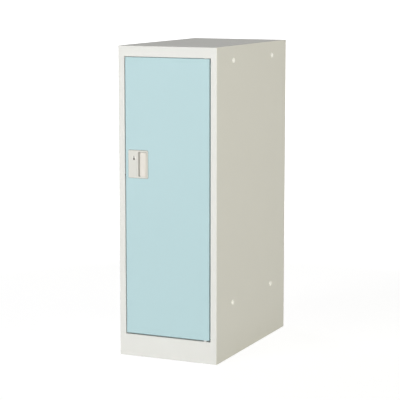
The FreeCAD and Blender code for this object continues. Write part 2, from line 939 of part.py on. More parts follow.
def lock_plug():
    face = bezel_face + plug_recess
    barrel = rod_y(lock_x, lock_z, face, cam_face, plug_radius)
    spigot = rod_y(lock_x, lock_z, cam_face, cam_back, spigot_radius)
    points = [
        (lock_x - keyway_foot_width / 2, lock_z - keyway_height / 2),
        (lock_x + keyway_foot_width / 2, lock_z - keyway_height / 2),
        (lock_x + keyway_head_width / 2, lock_z + keyway_height / 2),
        (lock_x - keyway_head_width / 2, lock_z + keyway_height / 2),
    ]
    keyway = prism(points, [keyway_round] * len(points), in_front, face - overcut, face + keyway_depth)
    thread = rod_y(lock_x, lock_z, cam_back - cam_screw_reach, cam_back + overcut, cam_screw_radius)
    return joined(barrel, [spigot]).cut(keyway).cut(thread)


def lock_cam():
    hub = rod_y(lock_x, lock_z, cam_face, cam_back, plug_radius)
    tongue = plate(
        lock_x - cam_width / 2, lock_x + cam_width / 2, lock_z - cam_reach, lock_z,
        bend + sheet, in_front, cam_face, cam_back,
    )
    return joined(hub, [tongue]).cut(
        rod_y(lock_x, lock_z, cam_face - overcut, cam_back + overcut, spigot_radius + fit_gap)
    )


def cam_screw():
    profile = [
        (0, -cam_screw_reach),
        (cam_screw_radius, -cam_screw_reach),
        (cam_screw_radius, 0),
        (cam_screw_head_radius, 0),
        (cam_screw_head_radius, cam_screw_head),
        (0, cam_screw_head),
    ]
    radii = [0, 0, 0, 0, cam_screw_round, 0]
    return turned(profile, radii, V(lock_x, cam_back, lock_z), V(0, 1, 0))


os.makedirs("parts", exist_ok=True)

nodes = {
    "left_side_panel": left_side_panel(),
    "right_side_panel": right_side_panel(),
    "back_panel": back_panel(),
    "top_panel": top_panel(),
    "floor_panel": floor_panel(),
    "hat_shelf": hat_shelf(),
    "shelf_brackets": shelf_brackets(),
    "coat_rail": coat_rail(),
    "rail_sockets": rail_sockets(),
    "right_hole_plugs": right_hole_plugs(),
    "left_hole_plugs": mirrored(right_hole_plugs()),
    "door_buffers": door_buffers(),
    "base_brackets": base_brackets(),
    "adjuster_nuts": adjuster_nuts(),
    "upper_hinge_bracket": upper_hinge_bracket(),
    "lower_hinge_bracket": lower_hinge_bracket(),
    "upper_hinge_pin": upper_hinge_pin(),
    "lower_hinge_pin": lower_hinge_pin(),
    "door_skin": door_skin(),
    "door_stiffener": door_stiffener(),
    "upper_pivot_plate": upper_pivot_plate(),
    "lower_pivot_plate": lower_pivot_plate(),
    "upper_hinge_bush": upper_hinge_bush(),
    "lower_hinge_bush": lower_hinge_bush(),
    "handle_housing": handle_housing(),
    "lever_pin": lever_pin(),
    "pull_lever": pull_lever(),
    "latch_bolt": latch_bolt(),
    "bolt_spring": bolt_spring(),
    "lock_body": lock_body(),
    "lock_nut": lock_nut(),
    "lock_plug": lock_plug(),
    "lock_cam": lock_cam(),
    "cam_screw": cam_screw(),
}
for place, (x, y) in foot_places().items():
    nodes["adjuster_foot_" + place] = adjuster_foot(x, y)

for name, shape in nodes.items():
    shape.exportStep(f"parts/{name}.step")
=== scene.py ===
import json
import math

import bmesh
import bpy
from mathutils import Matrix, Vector

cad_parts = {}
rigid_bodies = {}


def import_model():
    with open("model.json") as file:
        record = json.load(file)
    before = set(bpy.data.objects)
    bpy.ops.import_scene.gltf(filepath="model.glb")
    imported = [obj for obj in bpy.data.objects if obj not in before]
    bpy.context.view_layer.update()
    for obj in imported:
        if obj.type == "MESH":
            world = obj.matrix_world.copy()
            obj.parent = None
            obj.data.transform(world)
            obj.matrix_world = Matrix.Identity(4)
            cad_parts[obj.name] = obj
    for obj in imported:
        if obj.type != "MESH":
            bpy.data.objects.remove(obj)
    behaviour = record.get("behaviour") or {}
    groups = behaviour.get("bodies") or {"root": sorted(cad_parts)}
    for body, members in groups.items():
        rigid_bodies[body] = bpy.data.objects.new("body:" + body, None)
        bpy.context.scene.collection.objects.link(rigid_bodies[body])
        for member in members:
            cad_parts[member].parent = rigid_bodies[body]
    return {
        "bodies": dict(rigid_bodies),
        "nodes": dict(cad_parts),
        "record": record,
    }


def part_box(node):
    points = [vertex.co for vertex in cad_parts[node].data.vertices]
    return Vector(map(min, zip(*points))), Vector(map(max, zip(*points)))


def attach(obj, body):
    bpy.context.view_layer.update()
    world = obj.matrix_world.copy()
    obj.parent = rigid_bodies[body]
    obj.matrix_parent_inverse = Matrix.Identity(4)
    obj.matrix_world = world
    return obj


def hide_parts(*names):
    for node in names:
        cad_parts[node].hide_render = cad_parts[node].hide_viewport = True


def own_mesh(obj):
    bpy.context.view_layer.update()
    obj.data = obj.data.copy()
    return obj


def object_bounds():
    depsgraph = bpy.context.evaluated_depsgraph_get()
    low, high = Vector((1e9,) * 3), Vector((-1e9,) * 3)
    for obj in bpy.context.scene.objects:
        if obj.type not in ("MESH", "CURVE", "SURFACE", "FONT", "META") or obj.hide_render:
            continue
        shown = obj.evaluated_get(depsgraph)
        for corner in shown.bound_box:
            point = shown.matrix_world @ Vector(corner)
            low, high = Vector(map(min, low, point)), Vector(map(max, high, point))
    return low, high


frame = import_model()
cadLow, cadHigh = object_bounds()
nodes = frame["nodes"]


# Node wiring

class Wire:
    # one output of a node; arithmetic on it adds Math nodes
    def __init__(self, bench, socket):
        self.bench = bench
        self.socket = socket

    def reckon(self, operation, first, second):
        return self.bench.node("ShaderNodeMath", {"operation": operation}, {0: first, 1: second})

    def __add__(self, other):
        return self.reckon("ADD", self, other)

    def __radd__(self, other):
        return self.reckon("ADD", other, self)

    def __sub__(self, other):
        return self.reckon("SUBTRACT", self, other)

    def __rsub__(self, other):
        return self.reckon("SUBTRACT", other, self)

    def __mul__(self, other):
        return self.reckon("MULTIPLY", self, other)

    def __rmul__(self, other):
        return self.reckon("MULTIPLY", other, self)

    def __truediv__(self, other):
        return self.reckon("DIVIDE", self, other)

    def __rtruediv__(self, other):
        return self.reckon("DIVIDE", other, self)

    def __pow__(self, other):
        return self.reckon("POWER", self, other)

    def __rpow__(self, other):
        return self.reckon("POWER", other, self)

    def __lt__(self, other):
        return self.reckon("LESS_THAN", self, other)

    def __gt__(self, other):
        return self.reckon("GREATER_THAN", self, other)

    def __abs__(self):
        return self.reckon("ABSOLUTE", self, 0.0)


class Bench:
    # a node tree that is being wired
    def __init__(self, tree):
        self.tree = tree

    def node(self, kind, settings=None, inputs=None, output=0):
        made = self.tree.nodes.new(kind)
        for key, value in (settings or {}).items():
            setattr(made, key, value)
        for key, value in (inputs or {}).items():
            for item in value if isinstance(value, list) else [value]:
                if isinstance(item, Wire):
                    self.tree.links.new(item.socket, made.inputs[key])
                else:
                    made.inputs[key].default_value = item
        return Wire(self, made.outputs[output]) if made.outputs else None

    def noise(self, place, scale, detail=3.0, roughness=0.5):
        sockets = {"Vector": place, "Scale": scale, "Detail": detail, "Roughness": roughness}
        return self.node("ShaderNodeTexNoise", None, sockets, "Fac")

    def swing(self, value, amount):
        # a noise, either side of its middle
        return (value - 0.5) * amount

    def stretch(self, place, factors):
        return self.node("ShaderNodeVectorMath", {"operation": "MULTIPLY"}, {0: place, 1: factors})

    def axes(self, place):
        split = self.node("ShaderNodeSeparateXYZ", None, {0: place}).socket.node
        return [Wire(self, socket) for socket in split.outputs]

    def gaps(self, place, low, high):
        # how far a point is inside each pair of a box's faces
        middle, half = (low + high) / 2, (high - low) / 2
        return [half[i] - abs(axis - middle[i]) for i, axis in enumerate(self.axes(place))]

    def pick(self, operation, values):
        chosen = values[0]
        for value in values[1:]:
            chosen = chosen.reckon(operation, chosen, value)
        return chosen

    def clamp(self, value):
        return self.node("ShaderNodeClamp", None, {0: value})

    def tint(self, amount, first, second):
        return self.node("ShaderNodeMix", {"data_type": "RGBA"}, {0: amount, 6: first, 7: second}, 2)

    def bump(self, height, depth, strength):
        return self.node("ShaderNodeBump", None, {"Height": height, "Distance": depth, "Strength": strength})


def opaque(colour):
    return (*colour, 1.0)


def startMaterial(name):
    material = bpy.data.materials.new(name)
    material.use_nodes = True
    material.node_tree.nodes.clear()
    bench = Bench(material.node_tree)
    return material, bench, bench.node("ShaderNodeTexCoord", None, None, "Object")


def closeMaterial(material, bench, inputs):
    shader = bench.node("ShaderNodeBsdfPrincipled", None, inputs)
    bench.node("ShaderNodeOutputMaterial", None, {"Surface": shader})
    return material


# Finishes

paintBase = {
    "cloudScale": 7.0, "cloudGloss": 0.08,                       # uneven film, a hand's breadth across
    "peelScale": 420.0, "peelDetail": 1.0, "peelDepth": 0.0006, "peelStrength": 0.10,
    "fleckScale": 1500.0, "fleckDetail": 0.0, "fleckTint": 0.05,
    "scuffScale": 38.0, "scuffDetail": 4.0, "scuffStretch": (1.0, 1.0, 0.35),
    "scuffHeight": 0.09, "scuffTint": 0.22, "scuffGloss": 0.12,
    "edgeWidth": 0.0030, "edgeScale": 90.0, "edgeTint": 0.55,
    "touchReach": 0.16, "touchScale": 30.0, "touchGloss": 0.10,
    "gloss": 0.62, "shine": 0.40,
}
ivoryLook = {
    **paintBase,
    "thin": (0.680, 0.680, 0.652), "thick": (0.700, 0.700, 0.674),
    "fleck": (0.59, 0.58, 0.54), "dust": (0.56, 0.55, 0.51), "edge": (0.76, 0.76, 0.74),
}
paleBlueLook = {
    **paintBase,
    "thin": (0.415, 0.578, 0.606), "thick": (0.431, 0.594, 0.624),
    "fleck": (0.34, 0.49, 0.53), "dust": (0.40, 0.53, 0.54), "edge": (0.50, 0.65, 0.68),
}


def bakedPaint(name, look, low, high):
    material, bench, place = startMaterial(name)
    cloud = bench.noise(place, look["cloudScale"])
    peel = bench.noise(place, look["peelScale"], look["peelDetail"])     # orange peel
    fleck = bench.noise(place, look["fleckScale"], look["fleckDetail"])
    height = bench.axes(place)[2]
    streaked = bench.stretch(place, look["scuffStretch"])
    worn = bench.noise(streaked, look["scuffScale"], look["scuffDetail"])
    scuff = bench.clamp((1 - height / look["scuffHeight"]) * worn)       # shoes dull the lowest strip
    gaps = bench.gaps(place, low, high)
    # the middle one of the three is small only along an edge
    fromEdge = gaps[0] + gaps[1] + gaps[2] - bench.pick("MINIMUM", gaps) - bench.pick("MAXIMUM", gaps)
    rub = bench.noise(place, look["edgeScale"])
    edge = bench.clamp(1 - fromEdge / look["edgeWidth"]) * rub           # edges are painted lighter, partly paint worn thin over the folds and partly a painted highlight along the edges
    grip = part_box("handle_housing")
    ends = {0: place, 1: (grip[0] + grip[1]) / 2}
    reach = bench.node("ShaderNodeVectorMath", {"operation": "DISTANCE"}, ends, 1)
    touch = bench.clamp(1 - reach / look["touchReach"]) * bench.noise(place, look["touchScale"])
    body = bench.tint(cloud, opaque(look["thin"]), opaque(look["thick"]))
    body = bench.tint(scuff * look["scuffTint"], body, opaque(look["dust"]))
    body = bench.tint(edge * look["edgeTint"], body, opaque(look["edge"]))
    film = look["gloss"] + bench.swing(cloud, look["cloudGloss"])
    return closeMaterial(material, bench, {
        "Base Color": bench.tint(fleck * look["fleckTint"], body, opaque(look["fleck"])),
        "Roughness": film + scuff * look["scuffGloss"] - touch * look["touchGloss"],
        "Specular IOR Level": look["shine"],
        "Normal": bench.bump(peel, look["peelDepth"], look["peelStrength"]),
    })


plasticBase = {
    "grainScale": 1700.0, "grainDetail": 2.0, "grainRoughness": 0.6, "grainGloss": 0.16,
    "grainDepth": 0.0002, "grainStrength": 0.14,
    "flowScale": 24.0, "flowStretch": (1.0, 1.0, 0.3), "gloss": 0.48, "shine": 0.42,
}
housingLook = {
    **plasticBase, "dark": (0.590, 0.584, 0.541), "light": (0.614, 0.608, 0.566),
    "cupPaintedLight": (0.780, 0.785, 0.725), "cupPaintedLightFrom": 0.0028, "cupPaintedLightDepth": 0.003,
}
flapLook = {**plasticBase, "dark": (0.655, 0.620, 0.568), "light": (0.680, 0.645, 0.592)}
nylonLook = {
    **plasticBase, "dark": (0.94, 0.935, 0.905), "light": (0.96, 0.955, 0.925), "grainScale": 1200.0,
    "flowScale": 60.0, "gloss": 0.14, "grainGloss": 0.06, "shine": 1.0, "grainStrength": 0.05,
}
rubberLook = {
    **plasticBase, "dark": (0.15, 0.15, 0.15), "light": (0.20, 0.20, 0.195), "grainScale": 900.0,
    "flowScale": 90.0, "gloss": 0.78, "shine": 0.25, "grainDepth": 0.0003, "grainStrength": 0.30,
}
footPlasticLook = {
    **plasticBase, "dark": (0.040, 0.040, 0.042), "light": (0.060, 0.060, 0.062), "grainScale": 1100.0,
    "flowScale": 70.0, "gloss": 0.52, "shine": 0.40, "grainDepth": 0.0003, "grainStrength": 0.22,
}


def mouldedPlastic(name, look):
    material, bench, place = startMaterial(name)
    # grain that the mould leaves, and streaks from the flow of the melt
    grain = bench.noise(place, look["grainScale"], look["grainDetail"], look["grainRoughness"])
    flow = bench.noise(bench.stretch(place, look["flowStretch"]), look["flowScale"])
    body = bench.tint(flow, opaque(look["dark"]), opaque(look["light"]))
    if "cupPaintedLight" in look:                                          # the inside of the finger cup is painted lighter, painted light standing in for the shade that falls in the recess
        depth = bench.axes(place)[1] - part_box("handle_housing")[0].y
        inside = bench.clamp((depth - look["cupPaintedLightFrom"]) / look["cupPaintedLightDepth"])
        body = bench.tint(inside, body, opaque(look["cupPaintedLight"]))
    return closeMaterial(material, bench, {
        "Base Color": body,
        "Roughness": look["gloss"] + bench.swing(grain, look["grainGloss"]),
        "Specular IOR Level": look["shine"],
        "Normal": bench.bump(grain, look["grainDepth"], look["grainStrength"]),
    })


zincLook = {
    "spangleScale": 260.0, "spangleGloss": 0.12, "cloudScale": 45.0, "cloudDetail": 4.0,
    "scratchStretch": (1.0, 12.0, 12.0), "scratchScale": 160.0, "scratchDetail": 2.0, "scratchGloss": 0.14,
    "scratchDepth": 0.0002, "scratchStrength": 0.08,
    "blue": (0.36, 0.375, 0.395), "warm": (0.45, 0.44, 0.415), "gloss": 0.40,
}
darkZincLook = {**zincLook, "blue": (0.215, 0.220, 0.225), "warm": (0.250, 0.245, 0.235), "gloss": 0.55}


def zincPlate(name, look):
    material, bench, place = startMaterial(name)
    cells = {"Vector": place, "Scale": look["spangleScale"]}
    spangle = bench.node("ShaderNodeTexVoronoi", {"feature": "F1"}, cells, "Color")
    shade = bench.axes(spangle)[0]                               # one value for each crystal
    cloud = bench.noise(place, look["cloudScale"], look["cloudDetail"])
    drawn = bench.stretch(place, look["scratchStretch"])
    scratch = bench.noise(drawn, look["scratchScale"], look["scratchDetail"])
    sheen = look["gloss"] + bench.swing(shade, look["spangleGloss"])
    return closeMaterial(material, bench, {
        "Base Color": bench.tint((shade + cloud) / 2, opaque(look["blue"]), opaque(look["warm"])),
        "Metallic": 1.0,
        "Roughness": sheen + bench.swing(scratch, look["scratchGloss"]),
        "Normal": bench.bump(scratch, look["scratchDepth"], look["scratchStrength"]),
    })


chromeLook = {
    "hazeScale": 30.0, "hazeGloss": 0.05,
    "rubStretch": (30.0, 1.0, 1.0), "rubScale": 60.0, "rubDetail": 2.0, "rubGloss": 0.10,
    "rubDepth": 0.0001, "rubStrength": 0.05,
    "deep": (0.70, 0.71, 0.73), "bright": (0.80, 0.80, 0.81), "gloss": 0.07,
}


def chromePlate(name, look):
    material, bench, place = startMaterial(name)
    haze = bench.noise(place, look["hazeScale"])
    across = bench.stretch(place, look["rubStretch"])            # hangers rub across the tube
    rub = bench.noise(across, look["rubScale"], look["rubDetail"])
    return closeMaterial(material, bench, {
        "Base Color": bench.tint(haze, opaque(look["deep"]), opaque(look["bright"])),
        "Metallic": 1.0,
        "Roughness": look["gloss"] + haze * look["hazeGloss"] + rub * rub * look["rubGloss"],
        "Normal": bench.bump(rub, look["rubDepth"], look["rubStrength"]),
    })


nickelLook = {
    "turnPitch": 16000.0, "turnDepth": 0.0001, "turnStrength": 0.05, "cloudScale": 80.0, "cloudGloss": 0.06,
    "deep": (0.60, 0.58, 0.52), "bright": (0.70, 0.68, 0.62), "gloss": 0.24,
    "enamel": (0.66, 0.65, 0.61), "enamelDepth": 0.00025, "enamelGloss": 0.16,
    "keyway": (0.10, 0.10, 0.09), "keywayReach": 0.0064, "keywayDepth": 0.0085,
}


def nickelLock(name, look):
    material, bench, place = startMaterial(name)
    low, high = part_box("lock_plug")
    x, y, z = bench.axes(place)
    across = ((x - (low.x + high.x) / 2) ** 2 + (z - (low.z + high.z) / 2) ** 2) ** 0.5
    ring = bench.node("ShaderNodeMath", {"operation": "SINE"}, {0: across * look["turnPitch"]})
    cloud = bench.noise(place, look["cloudScale"])
    enamel = y < low.y + look["enamelDepth"]                     # the face of the plug matches the handle
    # the inside of the keyway is painted near black, painted shade in the slot
    keyway = (across < look["keywayReach"]) * (y < low.y + look["keywayDepth"]) * (1 - enamel)
    metal = bench.tint(cloud, opaque(look["deep"]), opaque(look["bright"]))
    faced = bench.tint(enamel, metal, opaque(look["enamel"]))
    bare = (1 - enamel) * (1 - keyway)
    return closeMaterial(material, bench, {
        "Base Color": bench.tint(keyway, faced, opaque(look["keyway"])),
        "Metallic": bare,
        "Roughness": look["gloss"] + (1 - bare) * look["enamelGloss"] + cloud * look["cloudGloss"],
        "Normal": bench.bump(ring, look["turnDepth"], look["turnStrength"]),
    })


def cabinetBox():
    low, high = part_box("left_side_panel")[0].copy(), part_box("right_side_panel")[1].copy()
    high.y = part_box("back_panel")[1].y
    return low, high


finishes = {
    "ivory_paint": bakedPaint("ivoryPaint", ivoryLook, *cabinetBox()),
    "pale_blue_paint": bakedPaint("paleBluePaint", paleBlueLook, *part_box("door_skin")),
    "ivory_plastic": mouldedPlastic("ivoryPlastic", housingLook),
    "white_nylon": mouldedPlastic("whiteNylon", nylonLook),
    "zinc_steel": zincPlate("zincSteel", zincLook),
    "chromed_tube": chromePlate("chromedTube", chromeLook),
    "nickel_brass": nickelLock("nickelBrass", nickelLook),
    "grey_rubber": mouldedPlastic("greyRubber", rubberLook),
    "black_plastic": mouldedPlastic("blackPlastic", footPlasticLook),
}


def coat(node, material):
    mesh = nodes[node].data
    mesh.materials.clear()
    mesh.materials.append(material)


for part in frame["record"]["subparts"]:
    coat(part["node"], finishes[part["material_slot"]])
coat("pull_lever", mouldedPlastic("flapPlastic", flapLook))      # the flap is from a lighter batch
coat("latch_bolt", zincPlate("darkZinc", darkZincLook))          # the bolt is painted darker, partly dull greased plating and partly painted shade to keep its face dark in the door gap
print("finishes:", len(finishes))


# Pieces that repeat

def pieceTree(name, sizes):
    tree = bpy.data.node_groups.new(name, "GeometryNodeTree")
    tree.interface.new_socket("Geometry", in_out="INPUT", socket_type="NodeSocketGeometry")
    kinds = {float: "NodeSocketFloat", int: "NodeSocketInt"}
    for label, value in sizes.items():
        tree.interface.new_socket(label, in_out="INPUT", socket_type=kinds[type(value)])
    tree.interface.new_socket("Geometry", in_out="OUTPUT", socket_type="NodeSocketGeometry")
    bench = Bench(tree)
    start = bench.node("NodeGroupInput").socket.node
    return bench, {socket.name: Wire(bench, socket) for socket in start.outputs if socket.name}


def closeTree(bench, geometry, material):
    solid = bench.node("GeometryNodeRealizeInstances", None, {0: geometry})
    coated = bench.node("GeometryNodeSetMaterial", None, {"Geometry": solid, "Material": material})
    bench.node("NodeGroupOutput", None, {0: coated})
    return bench.tree


def show(name, mesh):
    made = bpy.data.objects.new(name, mesh)
    bpy.context.scene.collection.objects.link(made)
    return made


def showShape(name, shape):
    mesh = bpy.data.meshes.new(name)
    shape.to_mesh(mesh)
    shape.free()
    return show(name, mesh)


def bakeTree(name, tree, sizes, points):
    seeds = bpy.data.meshes.new(name + "Seeds")
    seeds.from_pydata(points, [], [])
    piece = show(name, seeds)
    modifier = piece.modifiers.new("build", "NODES")
    modifier.node_group = tree
    for item in tree.interface.items_tree:
        if item.in_out == "INPUT" and item.name in sizes:
            modifier[item.identifier] = sizes[item.name]
    graph = bpy.context.evaluated_depsgraph_get()
    plain = bpy.data.meshes.new_from_object(piece.evaluated_get(graph))
    piece.modifiers.clear()
    piece.data = plain
    plain.name = name
    return piece


def seat(piece, body):
    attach(piece, body)


standUp = (math.pi / 2, 0.0, 0.0)                                # turns a ring that lies flat to the front
weldSizes = {"Ring Radius": 0.0026, "Rim": 0.0003, "Ring Steps": 14, "Rim Steps": 6}
backRows = {"inset": 0.0075, "pitch": 0.062, "rows": 14, "columns": 4, "reach": 0.12, "sheet": 0.001}
stiffenerRows = {"inset": 0.006, "end": 0.02, "rows": 10, "sheet": 0.001}


def weldTree(material):
    # rim that a welding electrode leaves round a spot, lying on an upright sheet
    bench, size = pieceTree("weldSpots", weldSizes)
    circle = "GeometryNodeCurvePrimitiveCircle"
    ring = bench.node(circle, None, {"Resolution": size["Ring Steps"], "Radius": size["Ring Radius"]})
    section = bench.node(circle, None, {"Resolution": size["Rim Steps"], "Radius": size["Rim"]})
    rim = bench.node("GeometryNodeCurveToMesh", None, {0: ring, 1: section})
    upright = bench.node("GeometryNodeTransform", None, {"Geometry": rim, "Rotation": standUp})
    spots = {"Points": size["Geometry"], "Instance": upright}
    return closeTree(bench, bench.node("GeometryNodeInstanceOnPoints", None, spots), material)


def spread(start, end, count):
    return [start + (end - start) * step / (count - 1) for step in range(count)]


def backWelds(look):
    # on the flanges and lips inside the cabinet that the back panel lies against
    low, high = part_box("back_panel")
    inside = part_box("left_side_panel")[1].y - look["sheet"]
    half = look["pitch"] * (look["rows"] - 1) / 2
    middle = (low.z + high.z) / 2
    sides = (low.x + look["inset"], high.x - look["inset"])
    levels = (high.z - look["inset"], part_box("floor_panel")[1].z - look["inset"])
    points = [(x, inside, z) for z in spread(middle - half, middle + half, look["rows"]) for x in sides]
    points += [(x, inside, z) for x in spread(-look["reach"], look["reach"], look["columns"]) for z in levels]
    tree = weldTree(finishes["ivory_paint"])
    seat(bakeTree("back_weld_spots", tree, weldSizes, points), "carcass")


def stiffenerWelds(look):
    low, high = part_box("door_stiffener")
    sides = (low.x + look["inset"], high.x - look["inset"])
    levels = spread(low.z + look["end"], high.z - look["end"], look["rows"])
    points = [(x, low.y + look["sheet"], z) for z in levels for x in sides]
    tree = weldTree(finishes["pale_blue_paint"])
    seat(bakeTree("stiffener_weld_spots", tree, weldSizes, points), "door")


backWelds(backRows)
stiffenerWelds(stiffenerRows)
print("weld spots set")


shadeSealSizes = {"Corner": 0.004, "Cord": 0.0005, "Corner Steps": 6, "Cord Steps": 8}


def shadeSealTree(sizes, material):
    # dark rubber cord round the rim of the handle, a dark line put there as painted shade for the shadow line
    # round the handle plate
    bench, size = pieceTree("handleShadeSeal", sizes)
    sides = {"Width": size["Width"], "Height": size["Height"]}
    rim = bench.node("GeometryNodeCurvePrimitiveQuadrilateral", {"mode": "RECTANGLE"}, sides)
    corners = {"Curve": rim, "Radius": size["Corner"], "Count": size["Corner Steps"]}
    path = bench.node("GeometryNodeFilletCurve", {"mode": "POLY"}, corners)
    section = {"Resolution": size["Cord Steps"], "Radius": size["Cord"]}
    ring = bench.node("GeometryNodeCurvePrimitiveCircle", None, section)
    cord = bench.node("GeometryNodeCurveToMesh", None, {0: path, 1: ring})
    upright = bench.node("GeometryNodeTransform", None, {"Geometry": cord, "Rotation": standUp})
    placed = {"Points": size["Geometry"], "Instance": upright}
    return closeTree(bench, bench.node("GeometryNodeInstanceOnPoints", None, placed), material)


def handleShadeSeal(look):
    low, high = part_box("handle_housing")
    sizes = {**look, "Width": high.x - low.x, "Height": high.z - low.z}
    middle = ((low.x + high.x) / 2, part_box("door_skin")[0].y, (low.z + high.z) / 2)
    tree = shadeSealTree(sizes, finishes["grey_rubber"])
    seat(bakeTree("handle_shade_seal", tree, sizes, [middle]), "door")


handleShadeSeal(shadeSealSizes)
print("handle seal set")


screwSizes = {
    "Head Radius": 0.0017, "Head Rise": 0.0010, "Recess Width": 0.0005, "Recess Reach": 0.0020,
    "Head Steps": 20, "Head Rings": 10, "Seed": 4,
}
screwRing = {"radius": 0.0121, "count": 3, "turn": 30.0, "base": 0.002}


def screwTree(material):
    # pan-head screws with a cross recess, heads towards the middle of the cabinet
    bench, size = pieceTree("socketScrews", screwSizes)
    steps = {"Segments": size["Head Steps"], "Rings": size["Head Rings"], "Radius": size["Head Radius"]}
    ball = bench.node("GeometryNodeMeshUVSphere", None, steps)
    squat = {0: 1.0, 1: 1.0, 2: size["Head Rise"] / size["Head Radius"]}
    flat = bench.node("ShaderNodeCombineXYZ", None, squat)
    head = bench.node("GeometryNodeTransform", None, {"Geometry": ball, "Scale": flat})
    lift = bench.node("ShaderNodeCombineXYZ", None, {2: size["Head Rise"]})
    arms = []
    for along, over in (("Recess Width", "Recess Reach"), ("Recess Reach", "Recess Width")):
        box = bench.node("ShaderNodeCombineXYZ", None, {0: size[along], 1: size[over], 2: size["Head Rise"]})
        arm = bench.node("GeometryNodeMeshCube", None, {"Size": box})
        arms.append(bench.node("GeometryNodeTransform", None, {"Geometry": arm, "Translation": lift}))
    cut = {"Mesh 1": head, "Mesh 2": arms}
    head = bench.node("GeometryNodeMeshBoolean", {"operation": "DIFFERENCE", "solver": "EXACT"}, cut)
    x = bench.axes(bench.node("GeometryNodeInputPosition"))[0]
    inward = bench.node("ShaderNodeMath", {"operation": "SIGN"}, {0: 0 - x})
    facing = bench.node("ShaderNodeCombineXYZ", None, {0: inward})
    turn = bench.node("FunctionNodeAlignRotationToVector", {"axis": "Z"}, {"Vector": facing})
    screws = {"Points": size["Geometry"], "Instance": head, "Rotation": turn}
    placed = bench.node("GeometryNodeInstanceOnPoints", None, screws)
    limits = {2: 0.0, 3: math.pi, "Seed": size["Seed"]}
    angle = bench.node("FunctionNodeRandomValue", {"data_type": "FLOAT"}, limits, 1)
    spin = bench.node("ShaderNodeCombineXYZ", None, {2: angle})
    turned = bench.node("GeometryNodeRotateInstances", None, {"Instances": placed, "Rotation": spin})
    return closeTree(bench, turned, material)


def socketScrews(look):
    low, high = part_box("rail_sockets")
    y, z = (low.y + high.y) / 2, (low.z + high.z) / 2
    points = []
    for step in range(look["count"]):
        turn = math.radians(look["turn"] + step * 360 / look["count"])
        across, up = look["radius"] * math.cos(turn), look["radius"] * math.sin(turn)
        points += [(x, y + across, z + up) for x in (low.x + look["base"], high.x - look["base"])]
    tree = screwTree(finishes["zinc_steel"])
    seat(bakeTree("rail_socket_screws", tree, screwSizes, points), "carcass")


socketScrews(screwRing)
print("screws set")


studSizes = {
    "Core Radius": 0.0043, "Thread": 0.00058, "Pitch": 0.0015, "Length": 0.0360,
    "Tip Radius": 0.0036, "Tip": 0.0008, "Turn Steps": 20, "Thread Steps": 6,
}
padLook = {
    "radius": 0.016, "rise": 0.0065, "round": 0.0012, "ribs": 30, "ribDepth": 0.0007, "shoulder": 0.0130,
    "hexFlats": 0.017, "hexSides": 6, "hex": 0.005, "chamfer": 0.0008,
}


def studTree(material):
    # steel stud with its thread, standing on the point that it is placed at
    bench, size = pieceTree("threadedStud", studSizes)
    core = {"Vertices": size["Turn Steps"], "Radius": size["Core Radius"], "Depth": size["Length"]}
    shank = bench.node("GeometryNodeMeshCylinder", None, core)
    raised = bench.node("ShaderNodeCombineXYZ", None, {2: size["Length"] / 2})
    shank = bench.node("GeometryNodeTransform", None, {"Geometry": shank, "Translation": raised})
    taper = {
        "Vertices": size["Turn Steps"], "Depth": size["Tip"],
        "Radius Top": size["Tip Radius"], "Radius Bottom": size["Core Radius"],
    }
    top = bench.node("ShaderNodeCombineXYZ", None, {2: size["Length"]})
    tip = bench.node("GeometryNodeMeshCone", None, taper)
    tip = bench.node("GeometryNodeTransform", None, {"Geometry": tip, "Translation": top})
    helix = {
        "Resolution": size["Turn Steps"], "Rotations": size["Length"] / size["Pitch"],
        "Start Radius": size["Core Radius"], "End Radius": size["Core Radius"], "Height": size["Length"],
    }
    path = bench.node("GeometryNodeCurveSpiral", None, helix)
    section = {"Resolution": size["Thread Steps"], "Radius": size["Thread"]}
    ridge = bench.node("GeometryNodeCurvePrimitiveCircle", None, section)
    thread = bench.node("GeometryNodeCurveToMesh", None, {0: path, 1: ridge, "Fill Caps": True})
    stud = bench.node("GeometryNodeJoinGeometry", None, {0: [shank, tip, thread]})
    placed = {"Points": size["Geometry"], "Instance": stud}
    return closeTree(bench, bench.node("GeometryNodeInstanceOnPoints", None, placed), material)


def ringOf(shape, centre, z, radii):
    count = len(radii)
    return [
        shape.verts.new((
            centre.x + radius * math.cos(2 * math.pi * step / count),
            centre.y + radius * math.sin(2 * math.pi * step / count), z,
        ))
        for step, radius in enumerate(radii)
    ]


def stackRings(shape, rings):
    for under, over in zip(rings, rings[1:]):
        for step in range(len(under)):
            after = (step + 1) % len(under)
            shape.faces.new((under[step], under[after], over[after], over[step]))
    shape.faces.new(rings[0][::-1])
    shape.faces.new(rings[-1])


def footPad(name, look, centre, material):
    shape = bmesh.new()
    bottom, top = centre.z, centre.z + look["rise"]
    groove = 1 - look["ribDepth"] / look["radius"]
    ribbed = [1.0, 1.0, groove, groove] * look["ribs"]
    plain = [1.0] * len(ribbed)
    levels = [
        (bottom, look["radius"] - look["round"], plain), (bottom + look["round"], look["radius"], ribbed),
        (top - look["round"], look["radius"], ribbed), (top, look["shoulder"], plain),
    ]
    rings = [(z, [reach * share for share in shares]) for z, reach, shares in levels]
    stackRings(shape, [ringOf(shape, centre, z, radii) for z, radii in rings])
    corner = look["hexFlats"] / math.sqrt(3)                     # from the middle to a corner
    hexLevels = [
        (top - look["round"], corner), (top + look["hex"] - look["chamfer"], corner),
        (top + look["hex"], corner - look["chamfer"]),
    ]
    stackRings(shape, [ringOf(shape, centre, z, [reach] * look["hexSides"]) for z, reach in hexLevels])
    pad = showShape(name, shape)
    pad.data.materials.append(material)
    return pad


